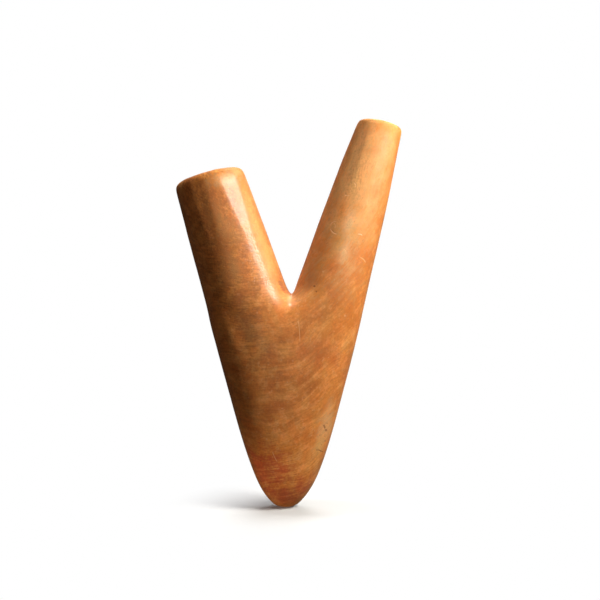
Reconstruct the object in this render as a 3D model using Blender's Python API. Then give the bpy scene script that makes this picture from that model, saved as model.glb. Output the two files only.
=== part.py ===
"""V-shaped snuff pipe, carved from one piece of wood.

The pipe stands in the XZ plane with its closed tip down and its two arms up. The wide mouth arm leans
towards -X and the longer, slimmer nose arm towards +X. A bore is drilled down each arm, and the two
bores meet in the body, above the solid tip. Y runs through the thickness, and the pipe is the same in
front (-Y) and behind (+Y).

The shape is one subdivision-surface cage. Sixteen-sided rings climb from the tip to the crotch, where
they split into twelve-sided rings, one set for each arm. An arm's rings go up its outside, over the
rounded rim, across the flat end and down its bore, to the fork where the two bores meet.
"""

import math
from typing import NamedTuple

import bmesh
import bpy
from mathutils import Vector

# Driving dimensions, in metres and radians.
JUNCTION_X = 0.00025  # where the two bores' centre lines cross
JUNCTION_HEIGHT = 0.0175
BORE_RADIUS = 0.0035
BORE_EDGE_ROUNDING = 0.00025  # inner edge of each arm's end
FLAT_GUARD = 0.00015  # how far inside its edges the end's flat is held

BODY_SIDES = 16
SADDLE_POINTS = 3
ARM_SIDES = BODY_SIDES // 2 + 1 + SADDLE_POINTS
LOOP_START = BODY_SIDES // 4  # steps from an arm's outside back to where its loop at the crotch starts
EDGE_STEPS = (0, 45, 90)  # degrees round each rounded edge at which it has a ring
SURFACE_LEVELS = 1
WOOD_COLOUR = (0.50, 0.22, 0.075, 1.0)
WOOD_ROUGHNESS = 0.38


class BodySection(NamedTuple):
    """A ring round the body. Its two sides hang lower than its middle by the sag."""

    height: float
    x: float
    half_width: float
    half_depth: float
    sag: float = 0.0
    squareness: float = 2.0  # 2 is an ellipse, and more flattens the front and back


class ArmSection(NamedTuple):
    """A ring across an arm, at a distance along its centre line from the junction."""

    distance: float
    half_width: float
    half_depth: float
    squareness: float = 2.0
    offset: float = 0.0  # from the centre line, away from the other arm


class Arm(NamedTuple):
    name: str
    side: int  # -1 leans towards -X and +1 towards +X
    lean: float  # from upright
    length: float  # from the junction to the flat end
    end_tilt: float  # how far the flat end is out of square, which makes the arm longer on its outside
    rim_rounding: float  # outer edge of the flat end
    rim_wear: float  # how much more it is rounded on the side facing the other arm, and less outside
    sections: tuple


MOUTH_ARM = Arm(
    name="mouth",
    side=-1,
    lean=math.radians(17.6),
    length=0.0640,
    end_tilt=math.radians(0.8),
    rim_rounding=0.0014,
    rim_wear=0.0003,
    sections=(
        ArmSection(0.0330, 0.00975, 0.00880, 2.2),
        ArmSection(0.0360, 0.00960, 0.00870, 2.1),
        ArmSection(0.0430, 0.00932, 0.00860),
        ArmSection(0.0520, 0.00892, 0.00835),
        ArmSection(0.0600, 0.00850, 0.00805),
    ),
)
NOSE_ARM = Arm(
    name="nose",
    side=1,
    lean=math.radians(16.4),
    length=0.0765,
    end_tilt=math.radians(2.2),
    rim_rounding=0.00105,
    rim_wear=0.00025,
    sections=(
        ArmSection(0.0335, 0.00840, 0.00840, 2.2),
        ArmSection(0.0365, 0.00825, 0.00820, 2.1),
        ArmSection(0.0450, 0.00775, 0.00765),
        ArmSection(0.0560, 0.00705, 0.00690),
        ArmSection(0.0670, 0.00620, 0.00605),
        ArmSection(0.0730, 0.00560, 0.00545),
    ),
)
BODY_SECTIONS = (
    BodySection(-0.00005, -0.0007, 0.0019, 0.0017, 0.0, 2.1),
    BodySection(0.00145, -0.0007, 0.0038, 0.0034, 0.0, 2.2),
    BodySection(0.0048, -0.0006, 0.0063, 0.0056, 0.0, 2.3),
    BodySection(0.0110, -0.0005, 0.0087, 0.0074, 0.0002, 2.4),
    BodySection(0.0193, -0.0006, 0.0112, 0.0085, 0.0006, 2.5),
    BodySection(0.0283, -0.0006, 0.0134, 0.0090, 0.0012, 2.6),
    BodySection(0.0370, -0.0007, 0.0155, 0.0092, 0.0020, 2.7),
    BodySection(0.0454, -0.0008, 0.0175, 0.0091, 0.0028, 2.7),
)
CROTCH_X = 0.0008
CROTCH_HEIGHT = 0.0505
SADDLE_FALL = 0.0016  # from the middle of the crotch to its outer points
SADDLE_HALF_DEPTH = 0.0050

CHANNEL_SECTIONS = (
    BodySection(0.0143, JUNCTION_X, 0.0014, 0.0014),
    BodySection(0.0153, JUNCTION_X, 0.0034, 0.0032),
    BodySection(0.0183, JUNCTION_X, 0.0040, BORE_RADIUS),
    BodySection(0.0236, JUNCTION_X, 0.0055, BORE_RADIUS),
    BodySection(0.0283, JUNCTION_X, 0.0069, BORE_RADIUS),
)
WEB_HEIGHT = 0.0298  # the edge of the wood that divides the two bores
WEB_FALL = 0.0006
WEB_HALF_DEPTH = 0.0018
FIRST_BORE_RING_DEPTH = 2.0 * BORE_RADIUS / 3.0  # below the flat end
LEAST_BORE_RING_GAP = BORE_RADIUS
BORE_RING_DISTANCES = (0.0560, 0.0420, 0.0280, 0.0150)


def control_swell(sides):
    """How much larger than the surface a control ring has to be, because the surface cuts its corners."""
    return 3.0 / (2.0 + math.cos(2.0 * math.pi / sides))


def rounded(value, squareness):
    """One coordinate of a superellipse, from the cosine or sine of its angle."""
    return math.copysign(abs(value) ** (2.0 / squareness), value)


def body_ring(section):
    """Points from the front, past +X, the back and -X."""
    swell = control_swell(BODY_SIDES)
    points = []
    for step in range(BODY_SIDES):
        angle = 2.0 * math.pi * step / BODY_SIDES - math.pi / 2.0
        across = rounded(math.cos(angle), section.squareness)
        deep = rounded(math.sin(angle), section.squareness)
        points.append(Vector((
            section.x + swell * section.half_width * across,
            swell * section.half_depth * deep,
            section.height - section.sag * across**2,
        )))
    return points


def arm_ring(arm, section, tilt=0.0):
    """Points round an arm, starting where its loop at the crotch starts."""
    swell = control_swell(ARM_SIDES)
    upward = Vector((arm.side * math.sin(arm.lean), 0.0, math.cos(arm.lean)))
    dip = arm.lean - tilt
    outward = Vector((arm.side * math.cos(dip), 0.0, -math.sin(dip)))
    back = Vector((0.0, 1.0, 0.0))
    centre = Vector((JUNCTION_X, 0.0, JUNCTION_HEIGHT)) + section.distance * upward
    points = []
    for step in range(ARM_SIDES):
        angle = arm.side * 2.0 * math.pi * (step - LOOP_START) / ARM_SIDES
        across = swell * section.half_width * rounded(math.cos(angle), section.squareness)
        across += section.offset
        deep = swell * section.half_depth * rounded(math.sin(angle), section.squareness)
        points.append(centre + across * outward + deep * back)
    return points


def saddle_ring(x, height, fall, half_depth):
    """Points from front to back over the middle of a crotch."""
    return (
        Vector((x, -half_depth, height - fall)),
        Vector((x, 0.0, height)),
        Vector((x, half_depth, height - fall)),
    )


def add_ring(bm, points):
    return [bm.verts.new(point) for point in points]


def join_rings(bm, lower, upper):
    """Faces that point away from the rings' middle, or towards it if the upper ring is given first."""
    for this in range(len(lower)):
        following = (this + 1) % len(lower)
        bm.faces.new((lower[this], lower[following], upper[following], upper[this]))


def add_fork(bm, body_rings, saddle, hollow):
    """A closed end, the rings above it, and the saddle that splits the last ring into two arms' loops."""
    rings = [add_ring(bm, points) for points in body_rings]
    bm.faces.new(rings[0] if hollow else rings[0][::-1])
    for lower, upper in zip(rings, rings[1:]):
        if hollow:
            join_rings(bm, upper, lower)
        else:
            join_rings(bm, lower, upper)
    crotch = rings[-1]
    ridge = add_ring(bm, saddle)
    half = BODY_SIDES // 2
    return {
        "nose": crotch[: half + 1] + ridge[::-1],
        "mouth": crotch[half:] + crotch[:1] + ridge,
    }


def rim_sections(arm):
    """Over the rounded outer edge, across the flat end, and round the inner edge into the bore."""
    below, last = arm.sections[-2:]
    taper = (last.half_width - below.half_width) / (last.distance - below.distance)
    width = last.half_width + taper * (arm.length - arm.rim_rounding - last.distance)
    depth = width * last.half_depth / last.half_width
    found = []
    for degrees in EDGE_STEPS:
        turn = math.radians(degrees)
        cut = arm.rim_rounding * (1.0 - math.cos(turn))
        drop = arm.rim_rounding * (1.0 - math.sin(turn))
        offset = arm.rim_wear * cut / arm.rim_rounding
        found.append(ArmSection(arm.length - drop, width - cut, depth - cut, offset=offset))
    flat_cut = arm.rim_rounding + FLAT_GUARD
    found.append(ArmSection(arm.length, width - flat_cut, depth - flat_cut, offset=arm.rim_wear))
    lip = BORE_RADIUS + BORE_EDGE_ROUNDING
    found.append(ArmSection(arm.length, lip + FLAT_GUARD, lip + FLAT_GUARD))
    for degrees in reversed(EDGE_STEPS):
        turn = math.radians(degrees)
        radius = lip - BORE_EDGE_ROUNDING * math.cos(turn)
        drop = BORE_EDGE_ROUNDING * (1.0 - math.sin(turn))
        found.append(ArmSection(arm.length - drop, radius, radius))
    return found


def bore_sections(arm):
    start = arm.length - FIRST_BORE_RING_DEPTH
    highest_next = start - LEAST_BORE_RING_GAP
    distances = [start]
    distances += [distance for distance in BORE_RING_DISTANCES if distance < highest_next]
    return [ArmSection(distance, BORE_RADIUS, BORE_RADIUS) for distance in distances]


def add_arm(bm, arm, outer_loop, inner_loop):
    loops = [outer_loop]
    loops += [add_ring(bm, arm_ring(arm, section)) for section in arm.sections]
    loops += [add_ring(bm, arm_ring(arm, section, arm.end_tilt)) for section in rim_sections(arm)]
    loops += [add_ring(bm, arm_ring(arm, section)) for section in bore_sections(arm)]
    loops.append(inner_loop)
    for lower, upper in zip(loops, loops[1:]):
        join_rings(bm, lower, upper)


def pipe_mesh():
    bm = bmesh.new()
    outer = add_fork(
        bm,
        [body_ring(section) for section in BODY_SECTIONS],
        saddle_ring(CROTCH_X, CROTCH_HEIGHT, SADDLE_FALL, SADDLE_HALF_DEPTH),
        hollow=False,
    )
    inner = add_fork(
        bm,
        [body_ring(section) for section in CHANNEL_SECTIONS],
        saddle_ring(JUNCTION_X, WEB_HEIGHT, WEB_FALL, WEB_HALF_DEPTH),
        hollow=True,
    )
    for arm in (MOUTH_ARM, NOSE_ARM):
        add_arm(bm, arm, outer[arm.name], inner[arm.name])
    mesh = bpy.data.meshes.new("pipe_body")
    bm.to_mesh(mesh)
    bm.free()
    mesh.shade_smooth()
    return mesh


def wood_material():
    material = bpy.data.materials.new("oiled_wood")
    material.use_nodes = True
    shader = material.node_tree.nodes["Principled BSDF"]
    shader.inputs["Base Color"].default_value = WOOD_COLOUR
    shader.inputs["Roughness"].default_value = WOOD_ROUGHNESS
    shader.inputs["Metallic"].default_value = 0.0
    return material


def add_pipe():
    mesh = pipe_mesh()
    mesh.materials.append(wood_material())
    pipe = bpy.data.objects.new("pipe_body", mesh)
    bpy.context.scene.collection.objects.link(pipe)
    smooth = pipe.modifiers.new("smooth_surface", "SUBSURF")
    smooth.levels = SURFACE_LEVELS
    smooth.render_levels = SURFACE_LEVELS
    smooth.use_limit_surface = True
    return pipe


def main():
    for obj in list(bpy.data.objects):
        bpy.data.objects.remove(obj)
    add_pipe()


main()
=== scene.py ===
"""The looks of the V-shaped snuff pipe: one carved and oiled piece of figured wood.

The pipe's fine surface grows from the same rings as the CAD part. It is subdivided, shaved with long
shallow knife cuts, and given the small unevenness of a thing carved by hand. The wood is one procedural
formula, whose figure curls round a centre just above the mouth arm's end. Lengths are in metres, and in
millimetres where the wood is painted. The studio is a round white floor and wall, four soft boxes and a
small spot.
"""

import functools
import math
from typing import NamedTuple

import bmesh
import bpy
import numpy as np
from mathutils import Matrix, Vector, noise


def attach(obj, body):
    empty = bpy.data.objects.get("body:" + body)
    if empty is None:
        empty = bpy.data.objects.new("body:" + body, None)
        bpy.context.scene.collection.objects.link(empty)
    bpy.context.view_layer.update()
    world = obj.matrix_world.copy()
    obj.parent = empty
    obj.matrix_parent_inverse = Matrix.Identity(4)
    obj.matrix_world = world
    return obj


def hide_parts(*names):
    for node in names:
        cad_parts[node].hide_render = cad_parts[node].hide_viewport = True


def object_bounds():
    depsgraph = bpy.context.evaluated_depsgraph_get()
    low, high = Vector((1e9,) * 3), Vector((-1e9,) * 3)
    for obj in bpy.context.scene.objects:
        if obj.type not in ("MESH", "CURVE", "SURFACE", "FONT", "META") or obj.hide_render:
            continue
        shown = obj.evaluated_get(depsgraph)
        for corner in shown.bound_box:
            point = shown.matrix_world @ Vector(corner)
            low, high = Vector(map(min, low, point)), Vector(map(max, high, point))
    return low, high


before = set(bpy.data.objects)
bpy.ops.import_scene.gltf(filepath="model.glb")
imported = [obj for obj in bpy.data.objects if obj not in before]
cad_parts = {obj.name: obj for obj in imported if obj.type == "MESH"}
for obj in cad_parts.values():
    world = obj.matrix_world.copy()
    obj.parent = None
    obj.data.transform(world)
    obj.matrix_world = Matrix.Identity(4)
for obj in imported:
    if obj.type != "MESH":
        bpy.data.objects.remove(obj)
cad_low, cad_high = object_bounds()

# ---------------------------------------------------------------- the pipe's rings, as in the CAD part

JUNCTION_X = 0.00025  # where the two bores' centre lines cross
JUNCTION_HEIGHT = 0.0175
BORE_RADIUS = 0.0035
BORE_EDGE_ROUNDING = 0.00025  # inner edge of each arm's end
FLAT_GUARD = 0.00015  # how far inside its edges the end's flat is held

BODY_SIDES = 16
SADDLE_POINTS = 3
ARM_SIDES = BODY_SIDES // 2 + 1 + SADDLE_POINTS
LOOP_START = BODY_SIDES // 4  # steps from an arm's outside back to where its loop at the crotch starts
EDGE_STEPS = (0, 45, 90)  # degrees round each rounded edge at which it has a ring
SURFACE_LEVELS = 3

OUTSIDE, END, BORE = 0, 1, 2  # the pipe's regions, and its material slots
MIDDLE_TOLERANCE = 1e-6


class BodySection(NamedTuple):
    """A ring round the body. Its two sides hang lower than its middle by the sag."""

    height: float
    x: float
    half_width: float
    half_depth: float
    sag: float = 0.0
    squareness: float = 2.0  # 2 is an ellipse, and more flattens the front and back


class ArmSection(NamedTuple):
    """A ring across an arm, at a distance along its centre line from the junction."""

    distance: float
    half_width: float
    half_depth: float
    squareness: float = 2.0
    offset: float = 0.0  # from the centre line, away from the other arm


class Arm(NamedTuple):
    name: str
    side: int  # -1 leans towards -X and +1 towards +X
    lean: float  # from upright
    length: float  # from the junction to the flat end
    end_tilt: float  # how far the flat end is out of square, which makes the arm longer on its outside
    rim_rounding: float  # outer edge of the flat end
    rim_wear: float  # how much more it is rounded on the side facing the other arm, and less outside
    sections: tuple


MOUTH_ARM = Arm(
    name="mouth",
    side=-1,
    lean=math.radians(17.6),
    length=0.0640,
    end_tilt=math.radians(0.8),
    rim_rounding=0.0014,
    rim_wear=0.0003,
    sections=(
        ArmSection(0.0330, 0.00975, 0.00880, 2.2),
        ArmSection(0.0360, 0.00960, 0.00870, 2.1),
        ArmSection(0.0430, 0.00932, 0.00860),
        ArmSection(0.0520, 0.00892, 0.00835),
        ArmSection(0.0600, 0.00850, 0.00805),
    ),
)
NOSE_ARM = Arm(
    name="nose",
    side=1,
    lean=math.radians(16.4),
    length=0.0765,
    end_tilt=math.radians(2.2),
    rim_rounding=0.00105,
    rim_wear=0.00025,
    sections=(
        ArmSection(0.0335, 0.00840, 0.00840, 2.2),
        ArmSection(0.0365, 0.00825, 0.00820, 2.1),
        ArmSection(0.0450, 0.00775, 0.00765),
        ArmSection(0.0560, 0.00705, 0.00690),
        ArmSection(0.0670, 0.00620, 0.00605),
        ArmSection(0.0730, 0.00560, 0.00545),
    ),
)
BODY_SECTIONS = (
    BodySection(-0.00005, -0.0007, 0.0019, 0.0017, 0.0, 2.1),
    BodySection(0.00145, -0.0007, 0.0038, 0.0034, 0.0, 2.2),
    BodySection(0.0048, -0.0006, 0.0063, 0.0056, 0.0, 2.3),
    BodySection(0.0110, -0.0005, 0.0087, 0.0074, 0.0002, 2.4),
    BodySection(0.0193, -0.0006, 0.0112, 0.0085, 0.0006, 2.5),
    BodySection(0.0283, -0.0006, 0.0134, 0.0090, 0.0012, 2.6),
    BodySection(0.0370, -0.0007, 0.0155, 0.0092, 0.0020, 2.7),
    BodySection(0.0454, -0.0008, 0.0175, 0.0091, 0.0028, 2.7),
)
CROTCH_X = 0.0008
CROTCH_HEIGHT = 0.0505
SADDLE_FALL = 0.0016  # from the middle of the crotch to its outer points
SADDLE_HALF_DEPTH = 0.0050

CHANNEL_SECTIONS = (
    BodySection(0.0143, JUNCTION_X, 0.0014, 0.0014),
    BodySection(0.0153, JUNCTION_X, 0.0034, 0.0032),
    BodySection(0.0183, JUNCTION_X, 0.0040, BORE_RADIUS),
    BodySection(0.0236, JUNCTION_X, 0.0055, BORE_RADIUS),
    BodySection(0.0283, JUNCTION_X, 0.0069, BORE_RADIUS),
)
WEB_HEIGHT = 0.0298  # the edge of the wood that divides the two bores
WEB_FALL = 0.0006
WEB_HALF_DEPTH = 0.0018
FIRST_BORE_RING_DEPTH = 2.0 * BORE_RADIUS / 3.0  # below the flat end
LEAST_BORE_RING_GAP = BORE_RADIUS
BORE_RING_DISTANCES = (0.0560, 0.0420, 0.0280, 0.0150)


def control_swell(sides):
    """How much larger than the surface a control ring has to be, because the surface cuts its corners."""
    return 3.0 / (2.0 + math.cos(2.0 * math.pi / sides))


def rounded(value, squareness):
    """One coordinate of a superellipse, from the cosine or sine of its angle."""
    return math.copysign(abs(value) ** (2.0 / squareness), value)


def body_ring(section):
    """Points from the front, past +X, the back and -X."""
    swell = control_swell(BODY_SIDES)
    points = []
    for step in range(BODY_SIDES):
        angle = 2.0 * math.pi * step / BODY_SIDES - math.pi / 2.0
        across = rounded(math.cos(angle), section.squareness)
        deep = rounded(math.sin(angle), section.squareness)
        points.append(Vector((
            section.x + swell * section.half_width * across,
            swell * section.half_depth * deep,
            section.height - section.sag * across**2,
        )))
    return points


def arm_axes(arm, tilt=0.0):
    """Directions along an arm, and out of it away from the other arm."""
    upward = Vector((arm.side * math.sin(arm.lean), 0.0, math.cos(arm.lean)))
    dip = arm.lean - tilt
    outward = Vector((arm.side * math.cos(dip), 0.0, -math.sin(dip)))
    return upward, outward


def arm_centre(arm, distance):
    return Vector((JUNCTION_X, 0.0, JUNCTION_HEIGHT)) + distance * arm_axes(arm)[0]


def arm_ring(arm, section, tilt=0.0):
    """Points round an arm, starting where its loop at the crotch starts."""
    swell = control_swell(ARM_SIDES)
    outward = arm_axes(arm, tilt)[1]
    back = Vector((0.0, 1.0, 0.0))
    centre = arm_centre(arm, section.distance)
    points = []
    for step in range(ARM_SIDES):
        angle = arm.side * 2.0 * math.pi * (step - LOOP_START) / ARM_SIDES
        across = swell * section.half_width * rounded(math.cos(angle), section.squareness)
        across += section.offset
        deep = swell * section.half_depth * rounded(math.sin(angle), section.squareness)
        points.append(centre + across * outward + deep * back)
    return points


def saddle_ring(x, height, fall, half_depth):
    """Points from front to back over the middle of a crotch."""
    return (
        Vector((x, -half_depth, height - fall)),
        Vector((x, 0.0, height)),
        Vector((x, half_depth, height - fall)),
    )


def add_ring(bm, points):
    return [bm.verts.new(point) for point in points]


def join_rings(bm, lower, upper, region=0):
    """Faces that point away from the rings' middle, or towards it if the upper ring is given first."""
    for this in range(len(lower)):
        following = (this + 1) % len(lower)
        face = bm.faces.new((lower[this], lower[following], upper[following], upper[this]))
        face.material_index = region


def seam_ring(bm, ring):
    for this, following in zip(ring, ring[1:] + ring[:1]):
        bm.edges.get((this, following)).seam = True


def add_fork(bm, body_rings, saddle, region):
    """A closed end, the rings above it, and the saddle that splits the last ring into two arms' loops."""
    hollow = region == BORE
    rings = [add_ring(bm, points) for points in body_rings]
    cap = bm.faces.new(rings[0] if hollow else rings[0][::-1])
    cap.material_index = region
    for lower, upper in zip(rings, rings[1:]):
        if hollow:
            join_rings(bm, upper, lower, region)
        else:
            join_rings(bm, lower, upper, region)
    half = BODY_SIDES // 2
    quarter = half // 2
    for this in range(quarter, quarter + half):
        bm.edges.get((rings[0][this], rings[0][this + 1])).seam = True
    crotch = rings[-1]
    ridge = add_ring(bm, saddle)
    return {
        "nose": crotch[: half + 1] + ridge[::-1],
        "mouth": crotch[half:] + crotch[:1] + ridge,
    }


def rim_sections(arm):
    """Over the rounded outer edge, across the flat end, and round the inner edge into the bore."""
    below, last = arm.sections[-2:]
    taper = (last.half_width - below.half_width) / (last.distance - below.distance)
    width = last.half_width + taper * (arm.length - arm.rim_rounding - last.distance)
    depth = width * last.half_depth / last.half_width
    found = []
    for degrees in EDGE_STEPS:
        turn = math.radians(degrees)
        cut = arm.rim_rounding * (1.0 - math.cos(turn))
        drop = arm.rim_rounding * (1.0 - math.sin(turn))
        offset = arm.rim_wear * cut / arm.rim_rounding
        found.append(ArmSection(arm.length - drop, width - cut, depth - cut, offset=offset))
    flat_cut = arm.rim_rounding + FLAT_GUARD
    found.append(ArmSection(arm.length, width - flat_cut, depth - flat_cut, offset=arm.rim_wear))
    lip = BORE_RADIUS + BORE_EDGE_ROUNDING
    found.append(ArmSection(arm.length, lip + FLAT_GUARD, lip + FLAT_GUARD))
    for degrees in reversed(EDGE_STEPS):
        turn = math.radians(degrees)
        radius = lip - BORE_EDGE_ROUNDING * math.cos(turn)
        drop = BORE_EDGE_ROUNDING * (1.0 - math.sin(turn))
        found.append(ArmSection(arm.length - drop, radius, radius))
    return found


def bore_sections(arm):
    start = arm.length - FIRST_BORE_RING_DEPTH
    highest_next = start - LEAST_BORE_RING_GAP
    distances = [start]
    distances += [distance for distance in BORE_RING_DISTANCES if distance < highest_next]
    return [ArmSection(distance, BORE_RADIUS, BORE_RADIUS) for distance in distances]


def add_arm(bm, arm, outer_loop, inner_loop):
    shaft = [outer_loop]
    shaft += [add_ring(bm, arm_ring(arm, section)) for section in arm.sections]
    rim = [add_ring(bm, arm_ring(arm, section, arm.end_tilt)) for section in rim_sections(arm)]
    bore = [add_ring(bm, arm_ring(arm, section)) for section in bore_sections(arm)]
    bore.append(inner_loop)
    outside = shaft + rim[:3]
    end = rim[2:6]
    inside = rim[5:] + bore
    for loops, region in ((outside, OUTSIDE), (end, END), (inside, BORE)):
        for lower, upper in zip(loops, loops[1:]):
            join_rings(bm, lower, upper, region)
    seam_ring(bm, end[0])
    seam_ring(bm, end[-1])


def pipe_cage():
    bm = bmesh.new()
    outer = add_fork(
        bm,
        [body_ring(section) for section in BODY_SECTIONS],
        saddle_ring(CROTCH_X, CROTCH_HEIGHT, SADDLE_FALL, SADDLE_HALF_DEPTH),
        OUTSIDE,
    )
    inner = add_fork(
        bm,
        [body_ring(section) for section in CHANNEL_SECTIONS],
        saddle_ring(JUNCTION_X, WEB_HEIGHT, WEB_FALL, WEB_HALF_DEPTH),
        BORE,
    )
    for arm in (MOUTH_ARM, NOSE_ARM):
        add_arm(bm, arm, outer[arm.name], inner[arm.name])
    for edge in bm.edges:
        in_middle_plane = all(abs(vert.co.y) < MIDDLE_TOLERANCE for vert in edge.verts)
        on_end = all(face.material_index == END for face in edge.link_faces)
        if in_middle_plane and not on_end:
            edge.seam = True
    mesh = bpy.data.meshes.new("carved_pipe_cage")
    bm.to_mesh(mesh)
    bm.free()
    return mesh


# ---------------------------------------------------------------- the fine surface

BAKE_LAYER = "OFBake"
CHART_GAP = 0.012
BORE_CHART_SCALE = 0.45  # the bores get less of the map's detail than the outside


def unwrap(obj):
    """Front, back, ends and bores each get a chart in the bake layer."""
    bpy.context.view_layer.objects.active = obj
    obj.select_set(True)
    obj.data.uv_layers.new(name=BAKE_LAYER)
    bpy.ops.object.mode_set(mode="EDIT")
    bpy.ops.mesh.select_all(action="SELECT")
    bpy.ops.uv.select_all(action="SELECT")
    bpy.ops.uv.unwrap(method="ANGLE_BASED", margin=0.0)
    bpy.ops.uv.average_islands_scale()
    bpy.ops.object.mode_set(mode="OBJECT")
    layer = obj.data.uv_layers[BAKE_LAYER]
    for polygon in obj.data.polygons:
        if polygon.material_index == BORE:
            for loop in polygon.loop_indices:
                layer.uv[loop].vector = layer.uv[loop].vector * BORE_CHART_SCALE
    bpy.ops.object.mode_set(mode="EDIT")
    bpy.ops.uv.pack_islands(margin=CHART_GAP)
    bpy.ops.object.mode_set(mode="OBJECT")
    obj.select_set(False)


def subdivided(cage):
    obj = bpy.data.objects.new("cage", cage)
    bpy.context.scene.collection.objects.link(obj)
    unwrap(obj)
    smooth = obj.modifiers.new("smooth_surface", "SUBSURF")
    smooth.levels = SURFACE_LEVELS
    smooth.render_levels = SURFACE_LEVELS
    smooth.use_limit_surface = True
    graph = bpy.context.evaluated_depsgraph_get()
    mesh = bpy.data.meshes.new_from_object(obj.evaluated_get(graph))
    bpy.data.objects.remove(obj)
    return mesh


class KnifeCut(NamedTuple):
    """A shallow flat shaved along an arm. The angle goes round the arm from the front to its outside."""

    arm: Arm
    distance: float  # of its middle from the junction
    half_length: float
    angle: float
    depth: float
    tilt: float = 0.0  # how much more it cuts towards the end


class BodyCut(NamedTuple):
    """A shallow flat shaved off the body's front (-1) or back (+1)."""

    face: int
    x: float
    height: float
    reach: float
    half_depth: float
    depth: float
    turn: float = 0.0  # of its normal, towards +X
    tilt: float = 0.0  # of its normal, upwards


KNIFE_CUTS = (
    KnifeCut(MOUTH_ARM, 0.0570, 0.0180, math.radians(-32), 0.00020, math.radians(0.8)),
    KnifeCut(MOUTH_ARM, 0.0520, 0.0180, math.radians(16), 0.00010),
    KnifeCut(MOUTH_ARM, 0.0500, 0.0180, math.radians(60), 0.00007),
    KnifeCut(MOUTH_ARM, 0.0500, 0.0180, math.radians(118), 0.00009),
    KnifeCut(MOUTH_ARM, 0.0500, 0.0180, math.radians(168), 0.00016),
    KnifeCut(MOUTH_ARM, 0.0500, 0.0160, math.radians(228), 0.00012),
    KnifeCut(NOSE_ARM, 0.0690, 0.0160, math.radians(-36), 0.00012, math.radians(0.5)),
    KnifeCut(NOSE_ARM, 0.0610, 0.0200, math.radians(22), 0.00008),
    KnifeCut(NOSE_ARM, 0.0590, 0.0190, math.radians(64), 0.00006),
    KnifeCut(NOSE_ARM, 0.0610, 0.0200, math.radians(120), 0.00008),
    KnifeCut(NOSE_ARM, 0.0590, 0.0190, math.radians(172), 0.00014),
    KnifeCut(NOSE_ARM, 0.0630, 0.0170, math.radians(232), 0.00010),
)
BODY_CUTS = (
    BodyCut(-1, -0.0095, 0.0340, 0.0180, 0.0084, 0.00012, math.radians(-13), 0.0),
    BodyCut(-1, 0.0075, 0.0290, 0.0180, 0.0086, 0.00010, math.radians(9), math.radians(-2)),
    BodyCut(-1, -0.0020, 0.0150, 0.0120, 0.0080, 0.00010, math.radians(-3), math.radians(-9)),
    BodyCut(1, 0.0090, 0.0330, 0.0180, 0.0085, 0.00014, math.radians(12), 0.0),
    BodyCut(1, -0.0080, 0.0290, 0.0180, 0.0086, 0.00012, math.radians(-10), math.radians(-2)),
    BodyCut(1, 0.0010, 0.0140, 0.0120, 0.0079, 0.00012, math.radians(4), math.radians(-9)),
)
DEEPEST_CUT = 0.0010  # what stands higher above a cut's plane is another part of the pipe
FULL_CUT_SHARE = 0.5  # of the deepest cut, up to which everything is shaved off
CUT_CORE = 0.3  # share of a cut's reach before it starts to fade
WAVE_SIZE = 0.011  # hand unevenness, from crest to crest
WAVE_HEIGHT = 0.00009
RIPPLE_SIZE = 0.0032
RIPPLE_HEIGHT = 0.000018
END_ROUGHNESS = 0.00008
WAVE_SEED, RIPPLE_SEED, END_SEED = 1, 2, 3
NOISE_SHIFT = (3.7, 1.9, 5.3)  # of each seed's noise from the one before
KNOT = Vector((0.0083, -0.0079, 0.0193))
KNOT_RADIUS = 0.0017
KNOT_DEPTH = 0.00030


def smooth_step(low, high, value):
    part = np.clip((value - low) / (high - low), 0.0, 1.0)
    return part * part * (3.0 - 2.0 * part)


def shave(points, origin, normal, reach):
    """Moves what stands just above a plane down onto it, and fades out at the reach from its origin."""
    offset = points - np.array(origin)
    above = np.maximum(offset @ np.array(normal), 0.0)
    above *= 1.0 - smooth_step(FULL_CUT_SHARE * DEEPEST_CUT, DEEPEST_CUT, above)
    fade = 1.0 - smooth_step(CUT_CORE * reach, reach, np.linalg.norm(offset, axis=1))
    points -= (above * fade)[:, None] * np.array(normal)


def arm_radius(arm, distance, angle):
    """From the centre line to the surface, at an angle from the front."""
    distances = [section.distance for section in arm.sections]
    width = np.interp(distance, distances, [section.half_width for section in arm.sections])
    depth = np.interp(distance, distances, [section.half_depth for section in arm.sections])
    return 1.0 / math.hypot(math.cos(angle) / depth, math.sin(angle) / width)


def shave_arm(points, cut):
    upward, outward = arm_axes(cut.arm)
    front = Vector((0.0, -1.0, 0.0))
    level = math.cos(cut.angle) * front + math.sin(cut.angle) * outward
    low, high = cut.arm.sections[1], cut.arm.sections[-1]
    taper = (low.half_width - high.half_width) / (high.distance - low.distance)
    tilt = cut.tilt + math.atan(taper)
    normal = math.cos(tilt) * level + math.sin(tilt) * upward
    radius = arm_radius(cut.arm, cut.distance, cut.angle)
    origin = arm_centre(cut.arm, cut.distance) + (radius - cut.depth) * level
    shave(points, origin, normal, cut.half_length)


def shave_body(points, cut):
    normal = Vector((
        math.sin(cut.turn) * math.cos(cut.tilt),
        cut.face * math.cos(cut.turn) * math.cos(cut.tilt),
        math.sin(cut.tilt),
    ))
    origin = Vector((cut.x, cut.face * (cut.half_depth - cut.depth), cut.height))
    shave(points, origin, normal, cut.reach)


def noise_at(points, size, seed):
    shift = Vector([seed * step for step in NOISE_SHIFT])
    return np.array([noise.noise(Vector(point) / size + shift) for point in points])


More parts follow.
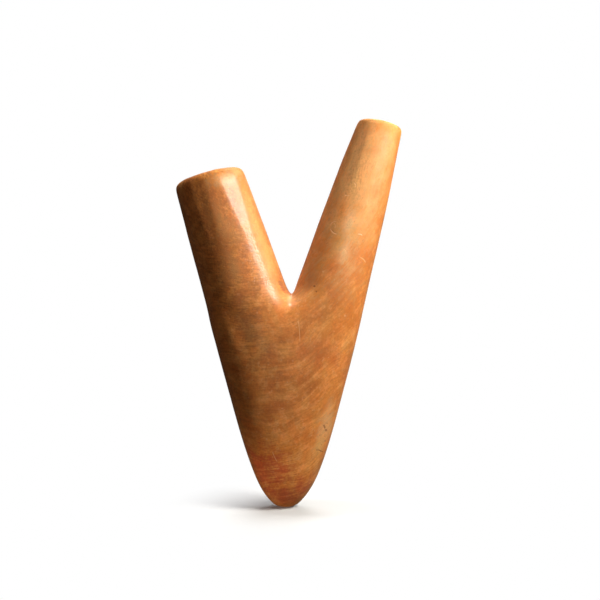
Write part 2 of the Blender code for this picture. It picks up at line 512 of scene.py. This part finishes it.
def carve(mesh):
    """Knife cuts and the knot's dent outside, and unevenness there and on the ends. Bores stay smooth."""
    count = len(mesh.vertices)
    points = np.empty(count * 3)
    mesh.vertices.foreach_get("co", points)
    points = points.reshape(-1, 3)
    normals = np.empty(count * 3)
    mesh.vertices.foreach_get("normal", normals)
    normals = normals.reshape(-1, 3)
    region = np.full(count, OUTSIDE)
    for polygon in mesh.polygons:
        if polygon.material_index != OUTSIDE:
            region[list(polygon.vertices)] = polygon.material_index
    outside = region == OUTSIDE
    shaved = points.copy()
    for cut in KNIFE_CUTS:
        shave_arm(shaved, cut)
    for cut in BODY_CUTS:
        shave_body(shaved, cut)
    points[outside] = shaved[outside]
    lift = WAVE_HEIGHT * noise_at(points, WAVE_SIZE, WAVE_SEED)
    lift += RIPPLE_HEIGHT * noise_at(points, RIPPLE_SIZE, RIPPLE_SEED)
    lift[region == BORE] = 0.0
    end = region == END
    lift[end] += END_ROUGHNESS * noise_at(points[end], RIPPLE_SIZE, END_SEED)
    from_knot = np.linalg.norm(points - np.array(KNOT), axis=1)
    lift -= np.where(outside, KNOT_DEPTH * (1.0 - smooth_step(0.0, KNOT_RADIUS, from_knot)), 0.0)
    points += lift[:, None] * normals
    points[:, 2] = np.maximum(points[:, 2], cad_low.z)
    mesh.vertices.foreach_set("co", points.ravel())
    mesh.update()


# ---------------------------------------------------------------- the wood


class Noise(NamedTuple):
    """Its scale is per unit of the coordinates that it is read at."""

    scale: float
    detail: float


class Graph:
    """Adds nodes to a material and links them, so that a formula can be written as one."""

    def __init__(self, tree):
        self.tree = tree

    def add(self, kind, **settings):
        node = self.tree.nodes.new(kind)
        for name, value in settings.items():
            setattr(node, name, value)
        return node

    def feed(self, socket, value):
        if isinstance(value, bpy.types.NodeSocket):
            self.tree.links.new(value, socket)
        else:
            socket.default_value = value

    def math(self, operation, *values, clamp=False):
        node = self.add("ShaderNodeMath", operation=operation, use_clamp=clamp)
        for socket, value in zip(node.inputs, values):
            self.feed(socket, value)
        return node.outputs[0]

    def plus(self, *values):
        return functools.reduce(lambda first, second: self.math("ADD", first, second), values)

    def minus(self, first, second):
        return self.math("SUBTRACT", first, second)

    def times(self, *values):
        return functools.reduce(lambda first, second: self.math("MULTIPLY", first, second), values)

    def vector(self, operation, first, second=None):
        node = self.add("ShaderNodeVectorMath", operation=operation)
        self.feed(node.inputs[0], first)
        if second is not None:
            self.feed(node.inputs["Scale"] if operation == "SCALE" else node.inputs[1], second)
        return node.outputs["Value" if operation in ("LENGTH", "DOT_PRODUCT", "DISTANCE") else "Vector"]

    def combine(self, x, y, z):
        node = self.add("ShaderNodeCombineXYZ")
        for socket, value in zip(node.inputs, (x, y, z)):
            self.feed(socket, value)
        return node.outputs[0]

    def separate(self, vector):
        node = self.add("ShaderNodeSeparateXYZ")
        self.feed(node.inputs[0], vector)
        return node.outputs

    def noise(self, kind, at, along=None, colour=False):
        node = self.add("ShaderNodeTexNoise", noise_dimensions="3D" if along is None else "4D")
        self.feed(node.inputs["Vector"], at)
        node.inputs["Scale"].default_value = kind.scale
        node.inputs["Detail"].default_value = kind.detail
        if along is not None:
            self.feed(node.inputs["W"], along)
        return node.outputs["Color" if colour else "Fac"]

    def step(self, value, low, high):
        """0 at low and 1 at high, whichever of the two is larger."""
        node = self.add("ShaderNodeMapRange", interpolation_type="SMOOTHSTEP")
        self.feed(node.inputs["Value"], value)
        self.feed(node.inputs["From Min"], low)
        self.feed(node.inputs["From Max"], high)
        return node.outputs["Result"]

    def mix(self, factor, first, second, blend="MIX"):
        node = self.add("ShaderNodeMix", data_type="RGBA", blend_type=blend)
        self.feed(node.inputs[0], factor)
        self.feed(node.inputs[6], (*first, 1.0) if isinstance(first, tuple) else first)
        self.feed(node.inputs[7], (*second, 1.0) if isinstance(second, tuple) else second)
        return node.outputs[2]

    def shaded(self, colour, shade):
        return self.mix(1.0, colour, self.combine(shade, shade, shade), "MULTIPLY")

    def set_up(self, node, settings):
        for name, value in settings.items():
            self.feed(node.inputs[name], value)


class Layer(NamedTuple):
    """A colour laid over the wood as one of the figure's noises goes from start to full."""

    noise: str
    start: float
    full: float
    strength: float
    colour: tuple


class Patch(NamedTuple):
    """A coloured place on the front: its middle, half sizes and turn in millimetres and degrees."""

    x: float
    z: float
    half_width: float
    half_height: float
    turn: float
    edge: float  # share of the size over which it fades
    strength: float
    colour: tuple


class Scratch(NamedTuple):
    """A thin line across the front, in millimetres."""

    start: tuple
    end: tuple
    bow: float
    width: float
    colour: tuple
    strength: float


class Speck(NamedTuple):
    """A dot on the front, in millimetres."""

    x: float
    z: float
    radius: float
    colour: tuple
    strength: float


GOLD = (0.60, 0.245, 0.066)
TAN = (0.50, 0.180, 0.041)
BROWN = (0.37, 0.115, 0.022)
RED = (0.40, 0.085, 0.026)
ORANGE = (0.58, 0.185, 0.034)
PALE = (0.68, 0.37, 0.17)
SCUFF = (0.72, 0.43, 0.23)
LIGHT = (0.64, 0.31, 0.115)  # sanded through to paler wood
ASH = (0.56, 0.33, 0.155)
DARK = (0.12, 0.036, 0.016)
BORE_BROWN = (0.085, 0.036, 0.016)
RED_TINT = (1.04, 0.965, 0.90)
GOLD_TINT = (0.985, 1.02, 0.98)

MILLIMETRES = 1000.0  # in a metre
FRONT = (-2.0, -4.5)  # y from which, and where fully, a place is on the front

# The figure curls round its eye. Its noises are read in polar coordinates: round the eye and away from it.
EYE = (-9.0, 0.0, 82.0)
EYE_SIZE = 9.0  # inside it the figure loses its direction
SIDE_TILT = 0.40  # how steeply the figure climbs across the right half
SIDE_TILT_SPAN = (-5.0, 11.0)
TIP_TILT = 0.30  # and across the tip
TIP_TILT_SPAN = (15.0, 4.0)
WARP = Noise(0.07, 1.0)
WARP_REACH = 5.0
DEPTH_SCALE = 0.22  # how fast the figure changes from front to back
AROUND_SCALE = 12.0  # and round the eye
RING_AROUND_SCALE = 3.9
RING_DEPTH_SHARE = 0.5

FIBRE = Noise(1.3, 3.0)
FIBRE_AWAY_SCALE = 1.9
FLECK = Noise(3.2, 2.0)
FLECK_AWAY_SCALE = 2.6
RING = Noise(1.0, 4.0)
RING_AWAY_SCALE = 0.36
MOTTLE = Noise(0.26, 5.0)
BLOTCH = Noise(0.085, 3.0)
BLOTCH_SHIFT = (31.0, 7.0, 17.0)
GRIT = Noise(1.9, 5.0)
FLEECE = Noise(0.62, 5.0)
FLEECE_SHIFT = (5.0, 11.0, 3.0)
HUE = Noise(0.50, 5.0)
HUE_STRETCH = (1.0, 1.0, 0.45)
HUE_SPAN = (0.38, 0.62)
DUST = Noise(1.4, 4.0)
DUST_SPAN = (0.60, 0.72)
DUST_STRENGTH = 0.20
END_GRAIN = Noise(1.1, 5.0)
END_GRAIN_STRETCH = (1.0, 2.4, 1.0)
END_GRAIN_SPAN = (0.35, 0.65)
END_GRAIN_STRENGTH = 0.55

TAN_SPAN = (0.28, 0.68)  # of the mottle
LAYERS = (
    Layer("ring", 0.44, 0.66, 0.50, GOLD),
    Layer("ring", 0.47, 0.36, 0.35, BROWN),
    Layer("fleece", 0.50, 0.62, 0.22, LIGHT),
    Layer("fleece", 0.47, 0.36, 0.16, BROWN),
    Layer("blotch", 0.54, 0.70, 0.40, ORANGE),
    Layer("blotch", 0.42, 0.30, 0.30, RED),
)
GROWTH_LINES = (  # distance from the eye and strength
    (41.5, 0.45),
    (46.5, 0.60),
    (48.2, 0.35),
    (54.5, 0.45),
    (58.0, 0.30),
    (66.0, 0.40),
)
GROWTH_LINE_SPAN = (0.65, 0.10)  # distances from its middle
GROWTH_LINE_BREAKS = (0.60, 0.40)  # of the mottle
EDGE_WANDER = (("mottle", 2.2), ("fibre", 2.0), ("grit", 1.2))  # of a patch's edge, in its own size
DARKEST_SHADE = 0.79
FIBRE_SPAN = (0.34, 0.66)
FIBRE_SHADE = 0.20
GRIT_SPAN = (0.32, 0.68)
GRIT_SHADE = 0.20
PORE_SPAN = (0.40, 0.30)  # of the flecks
PORE_STRENGTH = 0.38
LEAST_SOOT = 0.62
MOTTLED_SOOT = 0.5
SCRATCH_CORE = 0.3  # share of a scratch's width that has its full strength
SCRATCH_ENDS = (0.5, 0.36)  # distances from its middle, as shares of its length, over which it ends
SPECK_CORE = 0.4  # share of a speck's radius

ROUGHNESS = 0.42
MOTTLED_ROUGHNESS = 0.16
GRITTY_ROUGHNESS = 0.16
BORE_ROUGHNESS = 0.30
WORN_ROUGHNESS = 0.25  # added where the wood has no shine
LEAST_SPECULAR = 0.10
POLISHED_SPECULAR = 0.22
POLISHED_COAT = 0.20
FIBRE_RELIEF = 0.5
PORE_RELIEF = 0.6
SCRATCH_RELIEF = 1.6
BUMP = {"Strength": 0.35, "Distance": 0.00012}
OIL = {
    "IOR": 1.45,
    "Coat Roughness": 0.18,
    "Sheen Weight": 0.10,
    "Sheen Roughness": 0.45,
    "Sheen Tint": (1.0, 0.84, 0.62, 1.0),
}
WORN_LENGTH = 4.0  # of each arm, at its end
FULLY_WORN_SHARE = 0.3
OWN_HALF = (-1.0, 1.0)  # distances across the middle over which one arm's wear begins
CROTCH_REACH = 7.0
CROTCH_CORE = 0.3
CROTCH_DULLNESS = 0.8

# Places on the front: stains and wear, and, where noted, painted light and shade.
PATCHES = (
    Patch(-14.6, 63.0, 5.8, 22.0, 17, 0.9, 0.80, (0.335, 0.112, 0.026)),  # darker face of the mouth arm
    Patch(16.5, 79.0, 8.0, 25.0, -17, 0.9, 0.62, (0.70, 0.375, 0.150)),  # paler face of the nose arm: paler wood, and partly a painted broad highlight where the arm is nearest the key light
    Patch(-7.2, 66.0, 1.8, 14.0, 17, 0.8, 0.50, (0.64, 0.38, 0.130)),  # painted light: the mouth arm's inner edge, paler where it faces the key light
    Patch(-14.8, 66.5, 2.0, 4.6, 30, 1.5, 0.40, LIGHT),  # sanded places on the mouth arm
    Patch(-12.6, 56.5, 2.4, 3.6, 5, 1.5, 0.34, LIGHT),
    Patch(-7.4, 9.2, 6.6, 5.4, 28, 0.6, 0.75, (0.50, 0.094, 0.034)),  # warm red place, low on the left
    Patch(0.6, 1.8, 9.0, 5.2, 12, 0.7, 0.85, (0.385, 0.088, 0.034)),  # the tip
    Patch(-14.0, 77.4, 4.0, 2.0, 20, 1.0, 0.45, (0.70, 0.41, 0.20)),  # painted light: the pale wedge where the mouth arm's rounded rim catches the light
    Patch(14.0, 67.2, 1.3, 2.6, -14, 1.2, 0.50, SCUFF),  # scuffed places on the nose arm
    Patch(12.9, 60.4, 1.0, 3.6, -14, 1.2, 0.50, SCUFF),
    Patch(12.3, 69.8, 0.9, 2.6, -20, 1.0, 0.60, (0.60, 0.19, 0.035)),  # redder streaks beside them
    Patch(10.6, 59.4, 0.9, 1.3, 0, 1.2, 0.45, (0.50, 0.15, 0.040)),
    Patch(8.5, 20.0, 1.7, 3.8, -14, 1.2, 0.62, ASH),  # grey wood beside the knot
    Patch(7.4, 15.6, 1.3, 2.6, -30, 1.2, 0.50, (0.55, 0.30, 0.105)),
    Patch(9.4, 24.6, 0.8, 2.4, -12, 1.4, 0.35, (0.56, 0.34, 0.17)),
    Patch(-1.2, 52.6, 1.1, 1.9, 22, 0.7, 0.65, (0.20, 0.045, 0.022)),  # painted shade in the crease where the mouth arm meets the crotch
    Patch(12.0, 44.0, 5.0, 2.4, 42, 0.9, 0.35, ORANGE),  # bands across the body
    Patch(6.8, 36.5, 4.6, 1.5, 38, 0.9, 0.42, BROWN),
    Patch(4.8, 53.0, 1.5, 1.7, 25, 1.2, 0.35, (0.32, 0.14, 0.055)),  # painted shade on the nose arm's left flank, down where it meets the crotch
    Patch(-0.6, 45.6, 6.6, 2.6, 18, 0.8, 0.34, ORANGE),  # warm wood below the crotch
    Patch(-7.5, 42.5, 2.6, 4.2, 20, 1.5, 0.20, (0.56, 0.32, 0.15)),  # faint pale place beside it
)
SCRATCHES = (
    Scratch((2.3, 44.6), (2.7, 39.4), 0.10, 0.10, PALE, 0.55),
    Scratch((-3.6, 14.5), (-2.4, 11.9), -0.12, 0.10, PALE, 0.60),
    Scratch((15.0, 76.2), (15.5, 75.0), 0.30, 0.17, PALE, 0.65),
    Scratch((12.9, 73.5), (14.2, 73.3), -0.25, 0.16, PALE, 0.65),
    Scratch((9.7, 66.1), (11.2, 67.2), 0.45, 0.17, PALE, 0.65),
    Scratch((9.7, 65.6), (11.3, 64.2), -0.30, 0.20, PALE, 0.85),
    Scratch((10.4, 67.0), (10.7, 65.6), 0.30, 0.14, PALE, 0.50),
    Scratch((16.0, 64.2), (17.1, 63.8), 0.20, 0.19, PALE, 0.75),
    Scratch((16.5, 58.9), (17.9, 57.7), 0.20, 0.16, PALE, 0.60),
    Scratch((12.4, 60.9), (13.4, 59.6), 0.30, 0.14, PALE, 0.45),
    Scratch((6.2, 14.6), (8.2, 13.6), 0.18, 0.15, DARK, 0.65),
    Scratch((6.7, 14.9), (7.6, 13.7), 0.10, 0.10, DARK, 0.45),
    Scratch((8.1, 20.4), (8.4, 19.4), 0.05, 0.30, DARK, 0.60),
)
SPECKS = (
    Speck(8.7, 19.0, 0.42, DARK, 0.62),
    Speck(8.9, 20.6, 0.22, DARK, 0.40),
    Speck(8.4, 17.6, 0.22, DARK, 0.40),
    Speck(8.5, 16.4, 0.28, DARK, 0.45),
    Speck(7.7, 15.6, 0.22, DARK, 0.40),
    Speck(7.2, 18.0, 0.18, DARK, 0.35),
    Speck(9.6, 22.8, 0.20, DARK, 0.35),
    Speck(13.0, 45.5, 0.36, PALE, 0.40),
    Speck(-4.9, 17.3, 0.34, PALE, 0.35),
    Speck(6.0, 52.2, 0.34, DARK, 0.70),
    Speck(6.4, 51.0, 0.26, DARK, 0.60),
    Speck(-7.0, 46.2, 0.32, PALE, 0.28),
    Speck(8.0, 55.6, 0.30, PALE, 0.45),
)


class Figure(NamedTuple):
    """What the figure gives at a place. All but the first two are noises."""

    warped: bpy.types.NodeSocket
    radius: bpy.types.NodeSocket  # from the eye
    fibre: bpy.types.NodeSocket
    fleck: bpy.types.NodeSocket
    ring: bpy.types.NodeSocket
    mottle: bpy.types.NodeSocket
    blotch: bpy.types.NodeSocket
    grit: bpy.types.NodeSocket
    fleece: bpy.types.NodeSocket


def patch_mask(graph, place, front, wander, patch):
    """1 inside an ellipse on the front whose edge wanders, 0 outside."""
    turn = math.radians(patch.turn)
    x, _, z = graph.separate(graph.vector("SUBTRACT", place, (patch.x, 0.0, patch.z)))
    across = graph.plus(graph.times(x, math.cos(turn)), graph.times(z, math.sin(turn)))
    up = graph.minus(graph.times(z, math.cos(turn)), graph.times(x, math.sin(turn)))
    scaled = graph.combine(
        graph.math("DIVIDE", across, patch.half_width),
        0.0,
        graph.math("DIVIDE", up, patch.half_height),
    )
    far = graph.plus(graph.vector("LENGTH", scaled), wander)
    inside = graph.step(far, 1.0 + patch.edge / 2.0, 1.0 - patch.edge)
    return graph.times(inside, front, patch.strength)


def scratch_mask(graph, place, front, scratch):
    """1 on a thin bowed line on the front, 0 elsewhere."""
    start, end = Vector(scratch.start), Vector(scratch.end)
    length = (end - start).length
    along = (end - start) / length
    x, _, z = graph.separate(graph.vector("SUBTRACT", place, (start.x, 0.0, start.y)))
    run = graph.plus(graph.times(x, along.x), graph.times(z, along.y))
    off = graph.minus(graph.times(z, along.x), graph.times(x, along.y))
    part = graph.math("DIVIDE", run, length)
    arc = graph.times(part, graph.minus(1.0, part), 4.0 * scratch.bow)
    aside = graph.math("ABSOLUTE", graph.minus(off, arc))
    from_middle = graph.math("ABSOLUTE", graph.minus(part, 0.5))
    line = graph.step(aside, scratch.width, SCRATCH_CORE * scratch.width)
    kept = graph.step(from_middle, *SCRATCH_ENDS)
    return graph.times(line, kept, front, scratch.strength)


def speck_mask(graph, place, front, speck):
    """1 in a dot on the front, 0 elsewhere."""
    offset = graph.vector("SUBTRACT", place, (speck.x, 0.0, speck.z))
    flat = graph.vector("MULTIPLY", offset, (1.0, 0.0, 1.0))
    inside = graph.step(graph.vector("LENGTH", flat), speck.radius, SPECK_CORE * speck.radius)
    return graph.times(inside, front, speck.strength)


def near_an_end(graph, place):
    """1 at the arms' ends, where handling has worn the oil off, 0 a few millimetres below them."""
    x = graph.separate(place)[0]
    near = 0.0
    for arm in (MOUTH_ARM, NOSE_ARM):
        upward, _ = arm_axes(arm)
        end = MILLIMETRES * (arm_centre(arm, arm.length) @ upward)
        along = graph.vector("DOT_PRODUCT", place, tuple(upward))
        worn = graph.step(along, end - WORN_LENGTH, end - FULLY_WORN_SHARE * WORN_LENGTH)
        own = graph.step(graph.times(x, arm.side), *OWN_HALF)
        near = graph.math("MAXIMUM", near, graph.times(worn, own))
    return near


def near_the_crotch(graph, place):
    """Between the arms, where no cloth reaches to polish the wood."""
    crotch = (MILLIMETRES * CROTCH_X, 0.0, MILLIMETRES * CROTCH_HEIGHT)
    far = graph.vector("DISTANCE", place, crotch)
    return graph.times(graph.step(far, CROTCH_REACH, CROTCH_CORE * CROTCH_REACH), CROTCH_DULLNESS)


def polish(graph, place, region):
    """1 where the oiled wood shines, 0 where it is worn dull."""
    if region != OUTSIDE:
        return 0.0
    dull = graph.math("MAXIMUM", near_an_end(graph, place), near_the_crotch(graph, place))
    return graph.minus(1.0, dull)


def figure_at(graph, place):
    x, y, z = graph.separate(place)
    side = graph.times(graph.step(x, *SIDE_TILT_SPAN), SIDE_TILT)
    tip = graph.times(graph.step(z, *TIP_TILT_SPAN), TIP_TILT)
    drop = graph.times(graph.math("MAXIMUM", side, tip), x)
    tilted = graph.vector("SUBTRACT", place, graph.combine(0.0, 0.0, drop))
    warp = graph.vector("SUBTRACT", graph.noise(WARP, place, colour=True), (0.5, 0.5, 0.5))
    warped = graph.vector("ADD", tilted, graph.vector("SCALE", warp, WARP_REACH))
    from_eye = graph.vector("MULTIPLY", graph.vector("SUBTRACT", warped, EYE), (1.0, 0.0, 1.0))
    far = graph.vector("LENGTH", from_eye)
    radius = graph.math("SQRT", graph.plus(graph.times(far, far), EYE_SIZE**2))
    around = graph.vector("SCALE", from_eye, graph.math("DIVIDE", 1.0, radius))
    deep = graph.combine(0.0, graph.times(y, DEPTH_SCALE), 0.0)
    ring_deep = graph.vector("SCALE", deep, RING_DEPTH_SHARE)
    fine_way = graph.vector("ADD", graph.vector("SCALE", around, AROUND_SCALE), deep)
    ring_way = graph.vector("ADD", graph.vector("SCALE", around, RING_AROUND_SCALE), ring_deep)
    return Figure(
        warped=warped,
        radius=radius,
        fibre=graph.noise(FIBRE, fine_way, along=graph.times(radius, FIBRE_AWAY_SCALE)),
        fleck=graph.noise(FLECK, fine_way, along=graph.times(radius, FLECK_AWAY_SCALE)),
        ring=graph.noise(RING, ring_way, along=graph.times(radius, RING_AWAY_SCALE)),
        mottle=graph.noise(MOTTLE, place),
        blotch=graph.noise(BLOTCH, graph.vector("ADD", place, BLOTCH_SHIFT)),
        grit=graph.noise(GRIT, place),
        fleece=graph.noise(FLEECE, graph.vector("ADD", warped, FLEECE_SHIFT)),
    )


def grown_colour(graph, figure):
    """The wood's own colours, before stains, wear and the patches' painted light and shade."""
    colour = graph.mix(graph.step(figure.mottle, *TAN_SPAN), BROWN, TAN)
    for layer in LAYERS:
        amount = graph.step(getattr(figure, layer.noise), layer.start, layer.full)
        colour = graph.mix(graph.times(amount, layer.strength), colour, layer.colour)
    for radius, strength in GROWTH_LINES:
        aside = graph.math("ABSOLUTE", graph.minus(figure.radius, radius))
        breaks = graph.step(figure.mottle, *GROWTH_LINE_BREAKS)
        line = graph.times(graph.step(aside, *GROWTH_LINE_SPAN), breaks)
        colour = graph.mix(graph.times(line, strength), colour, BROWN)
    return colour


# Lays the patches on: stains and wear, and in some places painted light and shade.
def colour_with_stains_and_painted_light(graph, place, front, figure, colour):
    wander = graph.plus(*(
        graph.times(graph.minus(getattr(figure, name), 0.5), reach)
        for name, reach in EDGE_WANDER
    ))
    for patch in PATCHES:
        mask = patch_mask(graph, place, front, wander, patch)
        colour = graph.mix(mask, colour, patch.colour)
    return colour


def grained_colour(graph, place, figure, pore, colour):
    """Small shifts of hue, light and dark fibres, dark pores and pale dust."""
    hue = graph.noise(HUE, graph.vector("MULTIPLY", figure.warped, HUE_STRETCH))
    tint = graph.mix(graph.step(hue, *HUE_SPAN), RED_TINT, GOLD_TINT)
    colour = graph.mix(1.0, colour, tint, "MULTIPLY")
    fibre = graph.times(graph.step(figure.fibre, *FIBRE_SPAN), FIBRE_SHADE)
    grit = graph.times(graph.step(figure.grit, *GRIT_SPAN), GRIT_SHADE)
    colour = graph.shaded(colour, graph.plus(DARKEST_SHADE, fibre, grit))
    colour = graph.mix(graph.times(pore, PORE_STRENGTH), colour, DARK)
    dust = graph.times(graph.step(graph.noise(DUST, place), *DUST_SPAN), DUST_STRENGTH)
    return graph.mix(dust, colour, PALE)


def wood_material(name, region):
    material = bpy.data.materials.new(name)
    material.use_nodes = True
    graph = Graph(material.node_tree)
    shader = material.node_tree.nodes["Principled BSDF"]

    position = graph.add("ShaderNodeTexCoord").outputs["Object"]
    place = graph.vector("SCALE", position, MILLIMETRES)
    front = graph.step(graph.separate(place)[1], *FRONT)
    figure = figure_at(graph, place)
    pore = graph.step(figure.fleck, *PORE_SPAN)
    shine = polish(graph, place, region)

    colour = grown_colour(graph, figure)
    if region == OUTSIDE:
        colour = colour_with_stains_and_painted_light(graph, place, front, figure, colour)
    colour = grained_colour(graph, place, figure, pore, colour)
    gritty = graph.times(graph.minus(figure.grit, 0.5), GRITTY_ROUGHNESS)
    rough = graph.plus(ROUGHNESS, graph.times(figure.mottle, MOTTLED_ROUGHNESS), gritty)
    relief = graph.minus(graph.times(figure.fibre, FIBRE_RELIEF), graph.times(pore, PORE_RELIEF))

    if region == OUTSIDE:
        for scratch in SCRATCHES:
            mask = scratch_mask(graph, place, front, scratch)
            colour = graph.mix(mask, colour, scratch.colour)
            relief = graph.minus(relief, graph.times(mask, SCRATCH_RELIEF))
        for speck in SPECKS:
            mask = speck_mask(graph, place, front, speck)
            colour = graph.mix(mask, colour, speck.colour)
            relief = graph.minus(relief, mask)
    elif region == END:
        grain = graph.noise(END_GRAIN, graph.vector("MULTIPLY", place, END_GRAIN_STRETCH))
        amount = graph.times(graph.step(grain, *END_GRAIN_SPAN), END_GRAIN_STRENGTH)
        colour = graph.mix(amount, colour, BROWN)
    else:
        soot = graph.math("ADD", LEAST_SOOT, graph.times(figure.mottle, MOTTLED_SOOT), clamp=True)
        colour = graph.mix(soot, colour, BORE_BROWN)
        rough = graph.plus(rough, BORE_ROUGHNESS)
    rough = graph.plus(rough, graph.times(graph.minus(1.0, shine), WORN_ROUGHNESS))

    bump = graph.add("ShaderNodeBump")
    graph.set_up(bump, {**BUMP, "Height": relief})
    graph.set_up(shader, {
        **OIL,
        "Base Color": colour,
        "Roughness": rough,
        "Specular IOR Level": graph.plus(LEAST_SPECULAR, graph.times(shine, POLISHED_SPECULAR)),
        "Coat Weight": graph.times(shine, POLISHED_COAT),
        "Normal": bump.outputs["Normal"],
        "Coat Normal": bump.outputs["Normal"],
    })
    return material


def carved_pipe():
    mesh = subdivided(pipe_cage())
    mesh.name = "carved_pipe"
    carve(mesh)
    mesh.shade_smooth()
    mesh.materials.clear()
    for name, region in (("oiled_wood", OUTSIDE), ("oiled_wood_end_grain", END), ("stained_bore", BORE)):
        mesh.materials.append(wood_material(name, region))
    pipe = bpy.data.objects.new("carved_pipe", mesh)
    bpy.context.scene.collection.objects.link(pipe)
    return pipe


# ---------------------------------------------------------------- the studio

STAGE_MIDDLE = 0.35  # radius of its innermost ring
STAGE_RADIUS = 1.3
STAGE_CURVE = 0.45
STAGE_CURVE_STEPS = 12
STAGE_HEIGHT = 2.0
STAGE_SIDES = 96
STAGE_WHITE = (0.545, 0.555, 0.575)
PAPER = Noise(3.0, 3.0)
DARKEST_PAPER = 0.985
PAPER_CLOUDS = 0.02
PAPER_SHADER = {
    "Roughness": 0.9,
    "Specular IOR Level": 0.0,
    "Emission Color": (1.0, 1.0, 1.0, 1.0),
}
FLOOR_GLOW = 0.05
WALL_GLOW = 1.0
GLOW_SPAN = (0.006, 0.031)  # distances from the pipe between which the floor's glow turns into the wall's


class SoftBox(NamedTuple):
    """A square light that faces the pipe's middle."""

    name: str
    place: tuple
    size: float
    watts: float
    colour: tuple


SOFT_BOXES = (
    SoftBox("key", (0.132, -0.074, 0.150), 0.070, 0.70, (1.0, 0.965, 0.865)),
    SoftBox("top", (-0.105, 0.020, 0.620), 0.120, 2.5, (1.0, 0.97, 0.93)),
    SoftBox("fill", (0.020, -0.500, 0.060), 0.400, 0.34, (1.0, 0.93, 0.86)),
    SoftBox("back", (0.070, 0.500, 0.560), 0.450, 4.6, (1.0, 0.98, 0.95)),
)
TIP = (-0.002, -0.004, 0.005)
TIP_LIGHT_PLACE = (-0.080, -0.120, -0.055)
TIP_LIGHT_RADIUS = 0.012
TIP_LIGHT_CONE = math.radians(12)
TIP_LIGHT_WATTS = 0.58
TIP_LIGHT_COLOUR = (1.0, 0.86, 0.76)
SURROUND_COLOUR = (1.0, 0.66, 0.42, 1.0)
SURROUND_STRENGTH = 0.055

CAMERA_PLACE = (0.0027, -0.200, 0.04906)
CAMERA_TURN = (math.radians(90.0), 0.0, 0.0)
CAMERA_LENS = 50.5  # millimetres, as is the sensor's width
SENSOR_WIDTH = 36.0
NEAREST_SEEN = 0.005
FARTHEST_SEEN = 10.0


def stage_profile():
    """Radius and height, from near the middle of the floor, round a wide curve and up the wall."""
    floor_radius = STAGE_RADIUS - STAGE_CURVE
    points = [(STAGE_MIDDLE, 0.0), (floor_radius, 0.0)]
    for step in range(1, STAGE_CURVE_STEPS + 1):
        turn = math.radians(90.0 * step / STAGE_CURVE_STEPS)
        points.append((
            floor_radius + STAGE_CURVE * math.sin(turn),
            STAGE_CURVE - STAGE_CURVE * math.cos(turn),
        ))
    points.append((STAGE_RADIUS, STAGE_HEIGHT))
    return points


def stage_material():
    """White paper that glows more and more away from the pipe, so that only the shadow near it is left."""
    material = bpy.data.materials.new("white_paper")
    material.use_nodes = True
    graph = Graph(material.node_tree)
    shader = material.node_tree.nodes["Principled BSDF"]
    position = graph.add("ShaderNodeTexCoord").outputs["Object"]
    tone = graph.plus(DARKEST_PAPER, graph.times(graph.noise(PAPER, position), PAPER_CLOUDS))
    wall = graph.step(graph.vector("LENGTH", position), *GLOW_SPAN)
    graph.set_up(shader, {
        **PAPER_SHADER,
        "Base Color": graph.mix(wall, graph.shaded(STAGE_WHITE, tone), (0.0, 0.0, 0.0)),
        "Emission Strength": graph.plus(FLOOR_GLOW, graph.times(wall, WALL_GLOW - FLOOR_GLOW)),
    })
    return material


def add_stage():
    """A round floor that turns up into a wall, so that it is there from every side."""
    angles = [2.0 * math.pi * step / STAGE_SIDES for step in range(STAGE_SIDES)]
    bm = bmesh.new()
    rings = []
    for radius, height in stage_profile():
        points = [(radius * math.cos(angle), radius * math.sin(angle), height) for angle in angles]
        rings.append(add_ring(bm, points))
    bm.faces.new(rings[0])
    for lower, upper in zip(rings, rings[1:]):
        join_rings(bm, upper, lower)
    mesh = bpy.data.meshes.new("stage")
    bm.to_mesh(mesh)
    bm.free()
    mesh.shade_smooth()
    mesh.materials.append(stage_material())
    stage = bpy.data.objects.new("stage", mesh)
    stage.location.z = cad_low.z
    stage.visible_diffuse = False
    stage.visible_glossy = False
    stage.visible_shadow = False
    bpy.context.scene.collection.objects.link(stage)


def add_light(light, place, target, watts, colour):
    light.energy = watts
    light.color = colour
    lamp = bpy.data.objects.new(light.name, light)
    lamp.location = place
    lamp.rotation_euler = (Vector(place) - Vector(target)).to_track_quat("Z", "Y").to_euler()
    lamp.visible_camera = False
    bpy.context.scene.collection.objects.link(lamp)
    return lamp


def add_soft_boxes():
    middle = (cad_low + cad_high) / 2.0
    for box in SOFT_BOXES:
        light = bpy.data.lights.new(box.name, "AREA")
        light.shape = "SQUARE"
        light.size = box.size
        add_light(light, box.place, middle, box.watts, box.colour)


def add_tip_light():
    """A small warm spot that lifts the tip out of the shade, and leaves no streak of gloss on it."""
    light = bpy.data.lights.new("tip_light", "SPOT")
    light.shadow_soft_size = TIP_LIGHT_RADIUS
    light.spot_size = TIP_LIGHT_CONE
    light.spot_blend = 1.0
    lamp = add_light(light, TIP_LIGHT_PLACE, TIP, TIP_LIGHT_WATTS, TIP_LIGHT_COLOUR)
    lamp.visible_glossy = False


def add_surround():
    world = bpy.data.worlds.new("studio")
    world.use_nodes = True
    background = world.node_tree.nodes["Background"]
    background.inputs["Color"].default_value = SURROUND_COLOUR
    background.inputs["Strength"].default_value = SURROUND_STRENGTH
    bpy.context.scene.world = world


def add_camera():
    camera = bpy.data.cameras.new("camera")
    camera.lens = CAMERA_LENS
    camera.sensor_width = SENSOR_WIDTH
    camera.clip_start = NEAREST_SEEN
    camera.clip_end = FARTHEST_SEEN
    obj = bpy.data.objects.new("camera", camera)
    obj.location = CAMERA_PLACE
    obj.rotation_euler = CAMERA_TURN
    bpy.context.scene.collection.objects.link(obj)
    bpy.context.scene.camera = obj


add_camera()
add_stage()
add_soft_boxes()
add_tip_light()
add_surround()
bpy.context.scene.view_settings.view_transform = "Standard"  # keeps the white floor white
pipe = carved_pipe()
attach(pipe, "root")
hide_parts("pipe_body")
